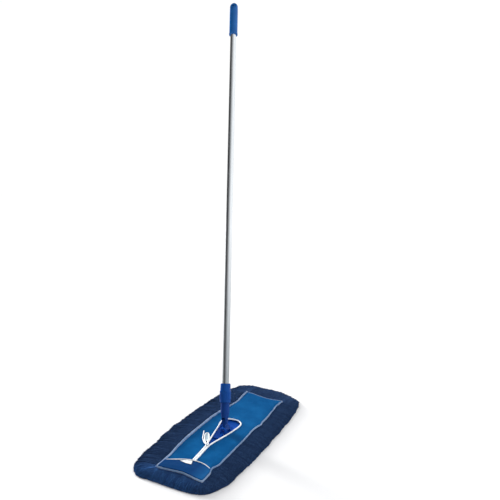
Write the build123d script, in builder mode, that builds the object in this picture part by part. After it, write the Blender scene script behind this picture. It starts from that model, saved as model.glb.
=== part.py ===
from build123d import *
from math import pi, radians, tan
import os

os.makedirs("parts", exist_ok=True)

# A flat dust mop: a tie-on yarn cover on a rigid plate, a universal joint and a long tube handle.
# The origin is on the floor under the joint, +X runs along the head to its far end, +Z is up.
# Millimetres and degrees.

# Cover
panel_length = 600
panel_width = 150
panel_corner = 8
cover_shift = 22  # the cover sits this far off the joint's centre, towards the far end
pile_height = 17
backing_thickness = 1
cloth_thickness = 1.2
cloth_gap = 0.2  # between a cloth and what it lies on
layer_gap = 0.1  # between one cloth and the next
binding_width = 6
binding_lip = 0.8  # how far the edge binding stands above the top cloth

# Fringe of yarn round the panel
fringe_left = 100
fringe_right = 64
fringe_near = 46
fringe_far = 100
fringe_corner = 62
fringe_edge_height = 9
fringe_drop = 3  # from the top cloth to the fringe's top beside the binding
fringe_shoulder = 6  # level strip beside the binding

# Pocket over the near end; its mouth is an arc through three points
pocket_left = 40
pocket_middle = 73
pocket_right = 63
pocket_middle_y = -14
pocket_binding_radius = 1.5
mouth_end_share = 0.03  # of the mouth's length, left clear at each end of its binding

# Slit in the top cloth and the opening round the joint
piping_radius = 2.1
slit_half = 3.6  # from the slit's centre line to each piping's centre line
slit_gap = 2  # from the slit's end to the pocket's binding
slit_near_y = -1.5
tie_x = -109
tie_y = 5.5
opening_bend_x = 28
opening_right_y = -23
opening_far_x = 84
opening_left_y = 45
opening_radius = 29
slit_bend_radius = 30

# Bow that ties the slit
tie_diameter = 3.4
knot_radius = 5
knot_half_height = 2.7
tab_thickness = 1.6

# Frame plate
plate_height = 6
plate_floor = 2.4
plate_end_gap = 11
plate_side_gap = 8
plate_corner = 20
plate_rib = 2.6
cross_rib_pitch = 48
cross_ribs = 11
long_rib_pitch = 64

# Joint base, riveted into the plate
base_length = 92
base_width = 42
base_thickness = 3.4
base_corner = 6
base_gap = 0.2
rivet_radius = 2
rivet_head_radius = 3.6
rivet_head_height = 1.2
rivet_pitch_x = 76
rivet_pitch_y = 28
ear_thickness = 5.6
ear_foot = 22
gusset_width = 5
gusset_length = 23
gusset_height = 5

# Universal joint
pin_radius = 3
pin_running_gap = 0.05
barrel_radius = 9
barrel_length = 23.4
barrel_floor_gap = 2
pin_spacing = 25  # from the lower pin to the upper pin
tongue_radius = 9
tongue_thickness = 9
washer_thickness = 1
washer_radius = 7
washer_gap = 0.1
pin_head_radius = 4.6
pin_head_height = 1.6
clip_thickness = 0.8
pin_tail = 1.6
side_lean = 12.3  # lean of the handle towards +Y at rest
end_lean = 18.34  # lean of the handle towards +X at rest

# Socket and its fork; heights are along the handle, from the upper pin
yoke_drop = 12
yoke_tip_radius = 4
yoke_radius = 9.8
fork_roof_gap = 2
socket_radius = 14.25
taper_top = 28
shoulder_height = 58
spigot_wall = 2.15
spigot_length = 42
tube_seat = 40
tube_slip = 0.05
thread_depth = 0.6
thread_pitch = 4
thread_turns = 5
finger_slot_width = 2
finger_slot_depth = 16

# Collet and locking collar
collet_gap = 0.4
collet_length = 13.6
collet_top_wall = 1.35
collet_slit = 3
collar_gap = 0.3
collar_floor_gap = 1
collar_length = 60
collar_foot_radius = 17.6
collar_bulge_radius = 18.75
collar_top_radius = 16.4
collar_lip = 4.5
bulge_start = 8
bulge_end = 37
flute_count = 18
flute_radius = 2.2
flute_depth = 0.9

# Tube, grip and hanging cap
tube_diameter = 22
tube_wall = 1
handle_length = 1545  # from the upper pin to the top of the cap
grip_length = 111
grip_radius = 15.5
grip_flare = 0.9
grip_flare_length = 10
grip_notches = 12
grip_notch_radius = 1.6
cap_radius = 15.1
cap_straight = 9.9
cap_spigot_length = 18
cap_spigot_gap = 0.05
eye_thickness = 14
eye_flat_start = 3
eye_radius = 4.5

# Levels above the floor
plate_bottom = pile_height + backing_thickness
plate_top = plate_bottom + plate_height
cloth_bottom = plate_top + cloth_gap
cloth_top = cloth_bottom + cloth_thickness
binding_top = cloth_top + binding_lip
pocket_bottom = cloth_top + layer_gap
pocket_top = pocket_bottom + cloth_thickness
piping_height = cloth_bottom + cloth_gap + piping_radius
hinge_height = plate_top + barrel_floor_gap + barrel_radius

# Outlines
near_edge = cover_shift - panel_length / 2
far_edge = cover_shift + panel_length / 2
inner_length = panel_length - 2 * binding_width
inner_width = panel_width - 2 * binding_width
inner_corner = panel_corner - binding_width
plate_length = panel_length - 2 * (cover_shift + binding_width + plate_end_gap)
plate_width = panel_width - 2 * (binding_width + plate_side_gap)
ear_inner = barrel_length / 2 + washer_thickness + washer_gap
ear_outer = ear_inner + ear_thickness
slot_half = tongue_thickness / 2 + washer_thickness + washer_gap

# The lower pin leans the knuckle sideways, the upper pin leans the handle endways
knuckle_axes = Plane(Location((0, 0, hinge_height)) * Rotation(-side_lean, 0, 0))
handle_axes = Plane(knuckle_axes.offset(pin_spacing).location * Rotation(0, end_lean, 0))
handle_line = Axis(handle_axes.origin, handle_axes.z_dir)


def front_of(axes):
    """A sketch plane through the axes' origin: across is their x, up is their z."""
    return Plane(axes.origin, x_dir=axes.x_dir, z_dir=-axes.y_dir)


def side_of(axes):
    """A sketch plane through the axes' origin: across is their y, up is their z."""
    return Plane(axes.origin, x_dir=axes.y_dir, z_dir=axes.x_dir)


def save(piece, name):
    piece.part.label = name
    export_step(piece.part, f"parts/{name}.step")


# ---------------------------------------------------------------- frame plate and joint base

with BuildPart() as frame_plate:
    with BuildSketch(Plane.XY.offset(plate_bottom)):
        RectangleRounded(plate_length, plate_width, plate_corner)
    extrude(amount=plate_height)
    with BuildSketch(Plane.XY.offset(plate_bottom + plate_floor)):
        RectangleRounded(
            plate_length - 2 * plate_rib, plate_width - 2 * plate_rib, plate_corner - plate_rib
        )
        with GridLocations(cross_rib_pitch, 0, cross_ribs, 1):
            Rectangle(plate_rib, plate_width, mode=Mode.SUBTRACT)
        with GridLocations(0, long_rib_pitch, 1, 2):
            Rectangle(plate_length, plate_rib, mode=Mode.SUBTRACT)
        RectangleRounded(
            base_length + 4 * plate_rib,
            base_width + 4 * plate_rib,
            base_corner + 2 * plate_rib,
            mode=Mode.SUBTRACT,
        )
    extrude(amount=plate_height - plate_floor, mode=Mode.SUBTRACT)
    with BuildSketch(Plane.XY.offset(plate_top - base_thickness)):
        RectangleRounded(base_length + 2 * base_gap, base_width + 2 * base_gap, base_corner + base_gap)
    extrude(amount=base_thickness, mode=Mode.SUBTRACT)
    with BuildSketch(Plane.XY.offset(plate_bottom)):
        with GridLocations(rivet_pitch_x, rivet_pitch_y, 2, 2):
            Circle(rivet_radius)
    extrude(amount=plate_height, mode=Mode.SUBTRACT)
    with BuildSketch(Plane.XY.offset(plate_bottom)):
        with GridLocations(rivet_pitch_x, rivet_pitch_y, 2, 2):
            Circle(rivet_head_radius)
    extrude(amount=rivet_head_height, mode=Mode.SUBTRACT)
save(frame_plate, "frame_plate")

with BuildPart() as joint_base:
    with BuildSketch(Plane.XY.offset(plate_top - base_thickness)):
        RectangleRounded(base_length, base_width, base_corner)
    extrude(amount=base_thickness)
    with BuildSketch(Plane.YZ.offset(ear_inner)) as ear_outline:
        with Locations((0, hinge_height)):
            Circle(barrel_radius)
        with Locations((0, plate_top - base_thickness / 2)):
            Rectangle(ear_foot, base_thickness)
        make_hull()
    extrude(amount=ear_thickness)
    with BuildSketch(Plane.XZ) as gusset_outline:
        with BuildLine():
            Polyline(
                (ear_outer - 1, plate_top - 1),
                (ear_outer + gusset_length, plate_top - 1),
                (ear_outer + gusset_length, plate_top + 1),
                (ear_outer, plate_top + gusset_height),
                (ear_outer - 1, plate_top + gusset_height),
                close=True,
            )
        make_face()
    extrude(amount=gusset_width / 2, both=True)
    mirror(about=Plane.YZ)
    with BuildSketch(Plane.YZ):
        with Locations((0, hinge_height)):
            Circle(pin_radius)
    extrude(amount=ear_outer + 1, both=True, mode=Mode.SUBTRACT)
    with BuildSketch(Plane.XY.offset(plate_top - base_thickness)):
        with GridLocations(rivet_pitch_x, rivet_pitch_y, 2, 2):
            Circle(rivet_radius)
    extrude(amount=base_thickness, mode=Mode.SUBTRACT)
    with BuildSketch(Plane.XY.offset(plate_top - rivet_head_height)):
        with GridLocations(rivet_pitch_x, rivet_pitch_y, 2, 2):
            Circle(rivet_head_radius)
    extrude(amount=rivet_head_height, mode=Mode.SUBTRACT)
save(joint_base, "joint_base")

# Four rivets, each with a flat head let in at both ends
with BuildPart() as base_rivets:
    with BuildSketch(Plane.XY.offset(plate_bottom)):
        with GridLocations(rivet_pitch_x, rivet_pitch_y, 2, 2):
            Circle(rivet_radius)
    extrude(amount=plate_height)
    for head_level in (plate_bottom, plate_top - rivet_head_height):
        with BuildSketch(Plane.XY.offset(head_level)):
            with GridLocations(rivet_pitch_x, rivet_pitch_y, 2, 2):
                Circle(rivet_head_radius)
        extrude(amount=rivet_head_height)
save(base_rivets, "base_rivets")

with BuildPart() as hinge_pin:
    with BuildSketch(Plane.YZ.offset(-ear_outer)):
        with Locations((0, hinge_height)):
            Circle(pin_radius)
    extrude(amount=2 * ear_outer + clip_thickness + pin_tail)
    with BuildSketch(Plane.YZ.offset(-ear_outer)):
        with Locations((0, hinge_height)):
            Circle(pin_head_radius)
    extrude(amount=-pin_head_height)
    fillet(hinge_pin.edges().filter_by(GeomType.CIRCLE).group_by(Axis.X)[0], pin_head_height / 2)
    chamfer(hinge_pin.edges().filter_by(GeomType.CIRCLE).group_by(Axis.X)[-1], pin_radius / 6)
save(hinge_pin, "hinge_pin")

with BuildPart() as pin_clip:
    with BuildSketch(Plane.YZ.offset(ear_outer)):
        with Locations((0, hinge_height)):
            Circle(pin_head_radius)
            Circle(pin_radius, mode=Mode.SUBTRACT)
    extrude(amount=clip_thickness)
save(pin_clip, "pin_clip")

# ---------------------------------------------------------------- knuckle between the two pins

with BuildPart() as knuckle:
    with BuildSketch(side_of(knuckle_axes)):
        Circle(barrel_radius)
    extrude(amount=barrel_length / 2, both=True)
    with BuildSketch(front_of(knuckle_axes)):
        with Locations((0, pin_spacing / 2)):
            Rectangle(2 * tongue_radius, pin_spacing)
        with Locations((0, pin_spacing)):
            Circle(tongue_radius)
    extrude(amount=tongue_thickness / 2, both=True)
    with BuildSketch(side_of(knuckle_axes)):
        Circle(pin_radius + pin_running_gap)
    extrude(amount=barrel_length, both=True, mode=Mode.SUBTRACT)
    with BuildSketch(front_of(knuckle_axes)):
        with Locations((0, pin_spacing)):
            Circle(pin_radius + pin_running_gap)
    extrude(amount=tongue_thickness, both=True, mode=Mode.SUBTRACT)
save(knuckle, "knuckle")

with BuildPart() as hinge_washers:
    with BuildSketch(side_of(knuckle_axes).offset(barrel_length / 2)):
        Circle(washer_radius)
        Circle(pin_radius + pin_running_gap, mode=Mode.SUBTRACT)
    extrude(amount=washer_thickness)
    mirror(about=side_of(knuckle_axes))
save(hinge_washers, "hinge_washers")

# ---------------------------------------------------------------- fork and socket

with BuildPart() as yoke_pin:
    with BuildSketch(front_of(handle_axes)):
        Circle(pin_radius)
    extrude(amount=yoke_radius - pin_radius / 5, both=True)
save(yoke_pin, "yoke_pin")

with BuildPart() as yoke_washers:
    with BuildSketch(front_of(handle_axes).offset(tongue_thickness / 2)):
        Circle(washer_radius)
        Circle(pin_radius, mode=Mode.SUBTRACT)
    extrude(amount=washer_thickness)
    mirror(about=front_of(handle_axes))
save(yoke_washers, "yoke_washers")

tube_radius = tube_diameter / 2
spigot_radius = tube_radius + tube_slip + spigot_wall
spigot_top = shoulder_height + spigot_length
fork_roof = tongue_radius + fork_roof_gap

# The fork's ears are what is left of the socket's rounded foot on each side of the tongue's slot
with BuildPart() as socket:
    with BuildSketch(front_of(handle_axes)):
        with BuildLine():
            foot = ThreePointArc(
                (yoke_tip_radius, -yoke_drop),
                ((yoke_tip_radius + 3 * yoke_radius) / 4 - 0.4, -yoke_drop / 2),
                (yoke_radius, 0),
            )
            Polyline(
                foot @ 1,
                (socket_radius, taper_top),
                (socket_radius, shoulder_height),
                (spigot_radius, shoulder_height),
                (spigot_radius, spigot_top),
                (tube_radius + tube_slip, spigot_top),
                (tube_radius + tube_slip, tube_seat),
                (0, tube_seat),
                (0, -yoke_drop),
                foot @ 0,
            )
        make_face()
    revolve(axis=handle_line)
    with BuildSketch(front_of(handle_axes)):
        with Locations((spigot_radius, shoulder_height + (thread_turns + 1) * thread_pitch / 2)):
            with GridLocations(0, thread_pitch, 1, thread_turns):
                Trapezoid(thread_pitch * 0.7, 2 * thread_depth, 60, rotation=-90)
    revolve(axis=handle_line)
    with BuildSketch(front_of(handle_axes)):
        with Locations((0, (fork_roof - 2 * yoke_drop) / 2)):
            Rectangle(4 * yoke_radius, fork_roof + 2 * yoke_drop)
    extrude(amount=slot_half, both=True, mode=Mode.SUBTRACT)
    with BuildSketch(front_of(handle_axes)):
        Circle(pin_radius)
    extrude(amount=2 * yoke_radius, both=True, mode=Mode.SUBTRACT)
    with BuildSketch(handle_axes.offset(spigot_top - finger_slot_depth)):
        with PolarLocations(0, 2, angular_range=180):
            Rectangle(3 * spigot_radius, finger_slot_width)
    extrude(amount=finger_slot_depth, mode=Mode.SUBTRACT)
save(socket, "socket")

# ---------------------------------------------------------------- collet and locking collar

collet_bottom = spigot_top + collet_gap
collet_top = collet_bottom + collet_length
collet_top_radius = tube_radius + tube_slip + collet_top_wall

with BuildPart() as collet:
    with BuildSketch(front_of(handle_axes)):
        with BuildLine():
            Polyline(
                (tube_radius + tube_slip, collet_bottom),
                (spigot_radius + thread_depth, collet_bottom),
                (collet_top_radius, collet_top),
                (tube_radius + tube_slip, collet_top),
                close=True,
            )
        make_face()
    revolve(axis=handle_line)
    with BuildSketch(handle_axes.offset(collet_bottom)):
        with Locations((-tube_radius, 0)):
            Rectangle(tube_radius, collet_slit)
    extrude(amount=collet_length, mode=Mode.SUBTRACT)
save(collet, "collet")

collar_bottom = shoulder_height + collar_floor_gap
collar_top = collar_bottom + collar_length
collar_bore = spigot_radius + thread_depth + collar_gap

with BuildPart() as lock_collar:
    with BuildSketch(front_of(handle_axes)):
        with BuildLine():
            Polyline(
                (collar_bore, collar_bottom),
                (collar_foot_radius - 1, collar_bottom),
                (collar_foot_radius, collar_bottom + 1),
                (collar_foot_radius, collar_bottom + bulge_start - 1),
                (collar_bulge_radius, collar_bottom + bulge_start + 2),
                (collar_bulge_radius, collar_bottom + bulge_end - 2),
                (collar_foot_radius - 0.5, collar_bottom + bulge_end + 1),
                (collar_top_radius, collar_top - 2),
                (collar_top_radius - 1.5, collar_top),
                (tube_radius + collar_gap, collar_top),
                (tube_radius + collar_gap, collar_top - collar_lip),
                (collet_top_radius + collar_gap, collar_top - collar_lip),
                (collar_bore, spigot_top),
                close=True,
            )
        make_face()
    revolve(axis=handle_line)
    with BuildSketch(handle_axes.offset(collar_bottom + bulge_start + 2)):
        with PolarLocations(collar_bulge_radius + flute_radius - flute_depth, flute_count):
            Circle(flute_radius)
    extrude(amount=bulge_end - bulge_start - 4, mode=Mode.SUBTRACT)
save(lock_collar, "lock_collar")

# ---------------------------------------------------------------- tube, grip and hanging cap

grip_top = handle_length - cap_radius - cap_straight
grip_bottom = grip_top - grip_length

with BuildPart() as handle_tube:
    with BuildSketch(handle_axes.offset(tube_seat)):
        Circle(tube_radius)
        Circle(tube_radius - tube_wall, mode=Mode.SUBTRACT)
    extrude(amount=grip_top - tube_seat)
save(handle_tube, "handle_tube")

with BuildPart() as grip:
    with BuildSketch(front_of(handle_axes)):
        with BuildLine():
            Polyline(
                (tube_radius, grip_bottom),
                (grip_radius + grip_flare - 0.8, grip_bottom),
                (grip_radius + grip_flare, grip_bottom + 0.8),
                (grip_radius + grip_flare, grip_bottom + grip_flare_length / 3),
                (grip_radius, grip_bottom + grip_flare_length),
                (grip_radius, grip_top - 1.2),
                (grip_radius - 1.2, grip_top),
                (tube_radius, grip_top),
                close=True,
            )
        make_face()
    revolve(axis=handle_line)
    with BuildSketch(handle_axes.offset(grip_bottom)):
        with PolarLocations(grip_radius + grip_flare + grip_notch_radius / 2, grip_notches):
            Circle(grip_notch_radius)
    extrude(amount=grip_flare_length / 3, mode=Mode.SUBTRACT)
save(grip, "grip")

cap_shoulder = grip_top + cap_straight
eye_height = cap_shoulder + cap_radius / 12
spigot_inside = tube_radius - tube_wall - cap_spigot_gap

with BuildPart() as hang_cap:
    with BuildSketch(front_of(handle_axes)):
        with BuildLine():
            Polyline(
                (0, handle_length),
                (0, grip_top - cap_spigot_length),
                (spigot_inside, grip_top - cap_spigot_length),
                (spigot_inside, grip_top),
                (cap_radius, grip_top),
                (cap_radius, cap_shoulder),
            )
            RadiusArc((0, handle_length), (cap_radius, cap_shoulder), cap_radius)
        make_face()
    revolve(axis=handle_line)
    with BuildSketch(handle_axes.offset(grip_top + eye_flat_start)):
        with GridLocations(eye_thickness + 2 * cap_radius, 0, 2, 1):
            Rectangle(2 * cap_radius, 3 * cap_radius)
    extrude(amount=handle_length - grip_top, mode=Mode.SUBTRACT)
    with BuildSketch(side_of(handle_axes)):
        with Locations((0, eye_height)):
            Circle(eye_radius)
    extrude(amount=cap_radius, both=True, mode=Mode.SUBTRACT)
save(hang_cap, "hang_cap")

# ---------------------------------------------------------------- cover: pile, backing and fringe

with BuildPart() as yarn_pile:
    with BuildSketch():
        with Locations((cover_shift, 0)):
            RectangleRounded(panel_length, panel_width, panel_corner)
    extrude(amount=pile_height)
save(yarn_pile, "yarn_pile")

with BuildPart() as backing_cloth:
    with BuildSketch(Plane.XY.offset(pile_height)):
        with Locations((cover_shift, 0)):
            RectangleRounded(inner_length, inner_width, inner_corner)
    extrude(amount=backing_thickness)
save(backing_cloth, "backing_cloth")

with BuildPart() as edge_binding:
    with BuildSketch(Plane.XY.offset(pile_height)):
        with Locations((cover_shift, 0)):
            RectangleRounded(panel_length, panel_width, panel_corner)
            RectangleRounded(inner_length, inner_width, inner_corner, mode=Mode.SUBTRACT)
    extrude(amount=binding_top - pile_height)
save(edge_binding, "edge_binding")

fringe_length = panel_length + fringe_near + fringe_far
fringe_width = panel_width + fringe_left + fringe_right
fringe_middle = (cover_shift + (fringe_far - fringe_near) / 2, (fringe_left - fringe_right) / 2)
fringe_top = cloth_top - fringe_drop
shoulder_corner = panel_corner + fringe_shoulder


def fringe_strip(corner_low, corner_high):
    """The part of the sloping fringe between two corners of the plan."""
    with BuildPart() as strip:
        with BuildSketch():
            with Locations(fringe_middle):
                RectangleRounded(fringe_length, fringe_width, fringe_corner)
        extrude(amount=fringe_edge_height)
        with BuildSketch(Plane.XY.offset(fringe_edge_height)):
            with Locations(fringe_middle):
                RectangleRounded(fringe_length, fringe_width, fringe_corner)
        with BuildSketch(Plane.XY.offset(fringe_top)):
            with Locations((cover_shift, 0)):
                RectangleRounded(
                    panel_length + 2 * fringe_shoulder,
                    panel_width + 2 * fringe_shoulder,
                    shoulder_corner,
                )
        loft()
        with BuildSketch():
            with Locations((cover_shift, 0)):
                RectangleRounded(panel_length, panel_width, panel_corner)
        extrude(amount=fringe_top, mode=Mode.SUBTRACT)
        with BuildSketch():
            with Locations(((corner_low[0] + corner_high[0]) / 2, (corner_low[1] + corner_high[1]) / 2)):
                Rectangle(corner_high[0] - corner_low[0], corner_high[1] - corner_low[1])
        extrude(amount=fringe_top, mode=Mode.INTERSECT)
    return strip


fringe_reach = fringe_length
save(fringe_strip((-fringe_reach, -fringe_width), (near_edge, fringe_width)), "fringe_near")
save(fringe_strip((far_edge, -fringe_width), (fringe_reach, fringe_width)), "fringe_far")
save(fringe_strip((near_edge, 0), (far_edge, fringe_width)), "fringe_left")
save(fringe_strip((near_edge, -fringe_width), (far_edge, 0)), "fringe_right")

# ---------------------------------------------------------------- cover: top cloth, slit and pocket

mouth_y = inner_width / 2
mouth_left = (near_edge + pocket_left, mouth_y)
mouth_middle = (near_edge + pocket_middle, pocket_middle_y)
mouth_right = (near_edge + pocket_right, -mouth_y)
slit_near_x = near_edge + pocket_middle + 2 * pocket_binding_radius + slit_gap

# One side of the slit, round the joint, and back along the other side
slit_route = [
    (slit_near_x, slit_near_y - slit_half),
    (tie_x, tie_y - slit_half),
    (opening_bend_x, opening_right_y),
    (opening_far_x, opening_right_y - 1),
    (opening_far_x, opening_left_y),
    (tie_x, tie_y + slit_half),
    (slit_near_x, slit_near_y + slit_half),
]
slit_radii = [slit_bend_radius, 2 * slit_bend_radius, opening_radius, opening_radius, slit_bend_radius]

with BuildPart() as top_cloth:
    with BuildSketch(Plane.XY.offset(cloth_bottom)):
        with Locations((cover_shift, 0)):
            RectangleRounded(inner_length, inner_width, inner_corner)
    extrude(amount=cloth_thickness)
    with BuildSketch(Plane.XY.offset(cloth_bottom)):
        with BuildLine():
            slit_edge = FilletPolyline(*slit_route, radius=slit_radii)
            Line(slit_edge @ 1, slit_edge @ 0)
        make_face()
        offset(amount=piping_radius)
    extrude(amount=cloth_thickness, mode=Mode.SUBTRACT)
save(top_cloth, "top_cloth")

with BuildPart() as slit_piping:
    with BuildLine(Plane.XY.offset(piping_height)):
        slit_line = FilletPolyline(*slit_route, radius=slit_radii)
    with BuildSketch(Plane(slit_line @ 0, z_dir=slit_line % 0)):
        Circle(piping_radius)
    sweep(path=slit_line)
save(slit_piping, "slit_piping")

with BuildPart() as end_pocket:
    with BuildSketch(Plane.XY.offset(pocket_bottom)):
        with Locations((cover_shift, 0)):
            RectangleRounded(inner_length, inner_width, inner_corner)
        with BuildLine():
            mouth = ThreePointArc(mouth_left, mouth_middle, mouth_right)
            Polyline(
                mouth @ 1, (near_edge, -mouth_y), (near_edge, mouth_y), mouth @ 0
            )
        make_face(mode=Mode.INTERSECT)
    extrude(amount=cloth_thickness)
save(end_pocket, "end_pocket")

binding_lift = Vector(0, 0, cloth_top + layer_gap + pocket_binding_radius)


def beside_mouth(along):
    """A point on the binding's centre line, abreast of a point on the mouth."""
    outward = Vector(0, 0, 1).cross(mouth % along)
    return mouth @ along + outward * (pocket_binding_radius + layer_gap)


with BuildPart() as pocket_binding:
    with BuildLine():
        mouth_line = ThreePointArc(
            beside_mouth(mouth_end_share) + binding_lift,
            beside_mouth(0.5) + binding_lift,
            beside_mouth(1 - mouth_end_share) + binding_lift,
        )
    with BuildSketch(Plane(mouth_line @ 0, z_dir=mouth_line % 0)):
        Circle(pocket_binding_radius)
    sweep(path=mouth_line)
save(pocket_binding, "pocket_binding")

# ---------------------------------------------------------------- cover: tab, knot and bow

tab_x = near_edge + pocket_middle - 6
with BuildPart() as tie_tab:
    with BuildSketch(Plane.XY.offset(pocket_top + layer_gap)):
        with BuildLine():
            Polyline(
                (tab_x - 17, -9), (tab_x - 3, -11), (tab_x, 2), (tab_x - 15, 22), close=True
            )
        make_face()
    extrude(amount=tab_thickness)
save(tie_tab, "tie_tab")

knot_height = piping_height + piping_radius + layer_gap + knot_half_height
knot_flat = knot_radius - knot_half_height
with BuildPart() as tie_knot:
    with BuildSketch(Plane((tie_x, tie_y, knot_height), x_dir=(1, 0, 0), z_dir=(0, -1, 0))):
        with BuildLine():
            Polyline(
                (knot_flat, knot_half_height),
                (0, knot_half_height),
                (0, -knot_half_height),
                (knot_flat, -knot_half_height),
            )
            ThreePointArc((knot_flat, -knot_half_height), (knot_radius, 0), (knot_flat, knot_half_height))
        make_face()
    revolve(axis=Axis((tie_x, tie_y, knot_height), (0, 0, 1)))
save(tie_knot, "tie_knot")

# Routes of the bow's cords: x, y and the height above the top cloth
tail_route = [
    (-112, 9.8, 5.7),
    (-105, 19, 4.6),
    (-93, 29.5, 2.2),
    (-79, 40, 1.9),
    (-64, 47.5, 1.9),
    (-50, 53, 1.9),
    (-38, 59.5, 1.9),
]
loop_route = [
    (-107.5, 10.2, 5.8),
    (-97, 21, 4.2),
    (-84, 30.5, 1.9),
    (-70, 38.4, 1.9),
    (-58, 44.2, 1.9),
    (-50, 47.0, 1.9),
    (-43.5, 45.5, 1.9),
    (-42.5, 39.5, 1.9),
    (-48.5, 34.5, 1.9),
    (-56.5, 29.5, 1.9),
    (-66, 24.0, 1.9),
    (-76, 20.0, 2.2),
    (-87, 16.5, 4.0),
    (-96, 12.6, 5.4),
    (-104.3, 7.4, 5.9),
]


def tie_cord(route, name):
    """A round cord: straight runs joined by arcs as large as the shorter run beside each allows."""
    points = [Vector(x, y, cloth_top + height) for x, y, height in route]
    runs = [b - a for a, b in zip(points, points[1:])]
    radii = []
    for before, after in zip(runs, runs[1:]):
        half_turn = radians(before.get_angle(after) / 2)
        radii.append(0.45 * min(before.length, after.length) / tan(half_turn))
    with BuildPart() as cord:
        with BuildLine():
            path = FilletPolyline(*points, radius=radii)
        with BuildSketch(Plane(path @ 0, z_dir=path % 0)):
            Circle(tie_diameter / 2)
        sweep(path=path)
    section = pi * tie_diameter**2 / 4
    print(name, "length", round(path.length, 1), "radii", [round(radius, 1) for radius in radii])
    print(name, "volume over section times length", round(cord.part.volume / section / path.length, 4))
    save(cord, name)


tie_cord(tail_route, "tie_tail")
tie_cord(loop_route, "tie_loop")

print("lower pin", knuckle_axes.origin, "upper pin", handle_axes.origin)
print("handle direction", handle_axes.z_dir, "across", handle_axes.x_dir, handle_axes.y_dir)
print("eye", handle_axes.from_local_coords(Vector(0, 0, eye_height)))
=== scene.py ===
import bpy
import bmesh
import math
import random
from mathutils import Matrix, Vector, noise


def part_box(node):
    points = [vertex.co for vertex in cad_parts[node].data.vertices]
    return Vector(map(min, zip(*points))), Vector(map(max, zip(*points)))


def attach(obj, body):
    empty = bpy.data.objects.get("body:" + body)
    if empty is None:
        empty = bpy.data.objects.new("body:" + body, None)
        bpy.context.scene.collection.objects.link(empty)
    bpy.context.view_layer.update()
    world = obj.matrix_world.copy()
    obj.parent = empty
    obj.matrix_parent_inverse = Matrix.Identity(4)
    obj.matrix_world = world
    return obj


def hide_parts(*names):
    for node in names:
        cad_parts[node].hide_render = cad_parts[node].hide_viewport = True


# A flat dust mop at rest on the floor. Lengths are in metres, and the head runs along X.

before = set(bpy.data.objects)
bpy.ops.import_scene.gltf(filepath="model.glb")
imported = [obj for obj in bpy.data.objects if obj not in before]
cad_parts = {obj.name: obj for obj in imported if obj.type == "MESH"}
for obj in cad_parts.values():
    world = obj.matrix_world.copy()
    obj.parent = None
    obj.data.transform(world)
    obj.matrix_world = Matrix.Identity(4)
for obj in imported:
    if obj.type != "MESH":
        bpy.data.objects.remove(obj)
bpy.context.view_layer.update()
scene = bpy.context.scene
chance = random.Random(11)


# General helpers

def smoothStep(low, high, value):
    share = min(1.0, max(0.0, (value - low) / (high - low)))
    return share * share * (3 - 2 * share)


def bump(value, middle, width, power=2):
    return math.exp(-abs((value - middle) / width) ** power)


def drift(x, y=0.0, z=0.0):
    return noise.noise(Vector((x, y, z)))  # smooth chance between about -1 and 1


def addObject(name, data):
    made = bpy.data.objects.new(name, data)
    scene.collection.objects.link(made)
    return made


def meshOf(name, work):
    mesh = bpy.data.meshes.new(name)
    work.to_mesh(mesh)
    work.free()
    for face in mesh.polygons:
        face.use_smooth = True
    return addObject(name, mesh)


def curveAlong(name, routes, radius, order=3, closed=False, steps=4, sides=1):
    curve = bpy.data.curves.new(name, "CURVE")
    curve.dimensions = "3D"
    curve.bevel_depth = radius
    curve.bevel_resolution = sides
    curve.use_fill_caps = not closed
    curve.twist_mode = "MINIMUM"
    for route in routes:
        spline = curve.splines.new("NURBS")
        spline.points.add(len(route) - 1)
        for point, place in zip(spline.points, route):
            point.co = (place[0], place[1], place[2], 1)
            if len(place) > 3:
                point.radius = place[3]  # a fourth number tapers the line there
        spline.use_cyclic_u = closed
        spline.order_u = order
        spline.use_endpoint_u = not closed
        spline.resolution_u = steps
    return addObject(name, curve)


def asMesh(line):
    # The same piece as a mesh, under the same name
    name = line.name
    view = bpy.context.evaluated_depsgraph_get()
    mesh = bpy.data.meshes.new_from_object(line.evaluated_get(view))
    curve = line.data
    bpy.data.objects.remove(line)
    bpy.data.curves.remove(curve)
    for face in mesh.polygons:
        face.use_smooth = True
    return addObject(name, mesh)


def lineOf(route, closed=False, steps=12):
    # Points along the smooth line that a route's control points give, in order
    line = curveAlong("guideLine", [route], 0, closed=closed, steps=steps)
    mesh = asMesh(line)
    points = [vertex.co.copy() for vertex in mesh.data.vertices]
    bpy.data.objects.remove(mesh)
    return points


# Material helpers

def paint(red, green, blue):
    # A paint chart colour, 0 to 255, as the shader's linear colour
    def linear(level):
        level /= 255
        return level / 12.92 if level < 0.04045 else ((level + 0.055) / 1.055) ** 2.4
    return (linear(red), linear(green), linear(blue), 1)


def newMaterial(name, colour, roughness, **sockets):
    material = bpy.data.materials.new(name)
    material.use_nodes = True
    shader = material.node_tree.nodes["Principled BSDF"]
    shader.inputs["Base Color"].default_value = colour
    shader.inputs["Roughness"].default_value = roughness
    for socket, value in sockets.items():
        shader.inputs[socket.replace("_", " ")].default_value = value
    return material, shader


def addNode(material, kind, **values):
    made = material.node_tree.nodes.new("ShaderNode" + kind)
    for name, value in values.items():
        if hasattr(made, name):
            setattr(made, name, value)
        else:
            made.inputs[name.replace("_", " ")].default_value = value
    return made


def join(material, source, target):
    material.node_tree.links.new(source, target)


def places(material, stretch=(1, 1, 1), turn=(0, 0, 0), surface=False):
    # Object coordinates, or the piece's own UV map for a pattern that follows the surface
    source = addNode(material, "TexCoord").outputs["UV" if surface else "Object"]
    mapping = addNode(material, "Mapping", Scale=stretch, Rotation=turn)
    join(material, source, mapping.inputs["Vector"])
    return mapping.outputs["Vector"]


def grain(material, where, scale, detail=2, rough=0.5):
    made = addNode(material, "TexNoise", Scale=scale, Detail=detail, Roughness=rough)
    join(material, where, made.inputs["Vector"])
    return made.outputs["Fac"]


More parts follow.
